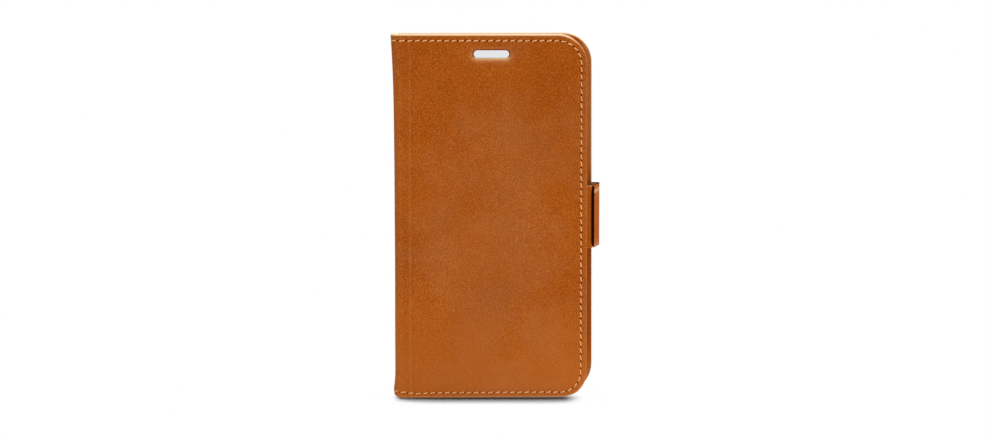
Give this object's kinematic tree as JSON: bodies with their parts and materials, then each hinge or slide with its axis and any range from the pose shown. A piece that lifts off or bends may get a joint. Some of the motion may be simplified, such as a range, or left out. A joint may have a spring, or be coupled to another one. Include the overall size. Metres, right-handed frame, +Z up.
{
  "type": "phone wallet case",
  "caption": "Folding leather phone case with a stiffened cover, card pockets, an open phone tray and a strap whose magnetic tongue tucks under the cover",
  "frame": {"origin": "under the middle of the closed case's bounding box, on the table that it stands on", "axes": "+Z up along the panels, +X from the spine to the strap, -Y out of the front cover"},
  "size_m": [0.0865, 0.016, 0.1514],
  "materials": {
    "tan_leather": "waxed full-grain hide, satin, with burnished raw edges",
    "strap_lining_leather": "dyed edge and strap lining, satin",
    "suede_lining": "brushed microfibre suede, matt",
    "greyboard": "pressed grey board, matt",
    "thread": "waxed linen thread, satin",
    "tray_shell": "moulded, fine matt texture",
    "keeper_steel": "stamped plate",
    "magnet_plating": "nickel plated",
    "pad_foam": "thin adhesive foam, matt"
  },
  "bodies": {
    "back": {"back_leather": "tan_leather", "back_board": "greyboard", "back_lining": "suede_lining", "back_stitching": "thread", "strap_anchor": "tan_leather", "phone_tray": "tray_shell", "adhesive_pad": "pad_foam"},
    "spine": {"spine_leather": "tan_leather", "spine_stiffener": "greyboard", "spine_lining": "suede_lining"},
    "front": {"front_leather": "tan_leather", "front_board": "greyboard", "keeper_plate": "keeper_steel", "front_lining": "suede_lining", "front_stitching": "thread", "money_pocket": "suede_lining", "card_pocket_1": "tan_leather", "card_pocket_2": "tan_leather", "card_pocket_3": "tan_leather", "pocket_stitching": "thread"},
    "strap_side": {"strap_side_leather": "tan_leather", "strap_side_lining": "strap_lining_leather"},
    "strap_tongue": {"tongue_facing": "tan_leather", "tongue_backing": "tan_leather", "tongue_core": "strap_lining_leather", "tongue_magnet": "magnet_plating", "tongue_stitching": "thread"}
  },
  "joints": [
    {"name": "back_fold", "type": "hinge", "parent": "back", "child": "spine", "pos_m": [-0.0418, 0.008, 0.0757], "axis": [0, 0, -1], "range_deg": [0, 175]},
    {"name": "front_fold", "type": "hinge", "parent": "spine", "child": "front", "pos_m": [-0.0418, -0.008, 0.0757], "axis": [0, 0, -1], "range_deg": [0, 175]},
    {"name": "strap_rear_fold", "type": "hinge", "parent": "back", "child": "strap_side", "pos_m": [0.0433, 0.0069, 0.0757], "axis": [0, 0, 1], "range_deg": [0, 102]},
    {"name": "strap_front_fold", "type": "hinge", "parent": "strap_side", "child": "strap_tongue", "pos_m": [0.04079, -0.0049, 0.0757], "axis": [0, 0, 1], "range_deg": [0, 78]}
  ],
  "couplings": [
    {"joint": "strap_rear_fold", "follows": "front_fold", "ratio": 0.5828},
    {"joint": "strap_front_fold", "follows": "front_fold", "ratio": 0.4457}
  ]
}
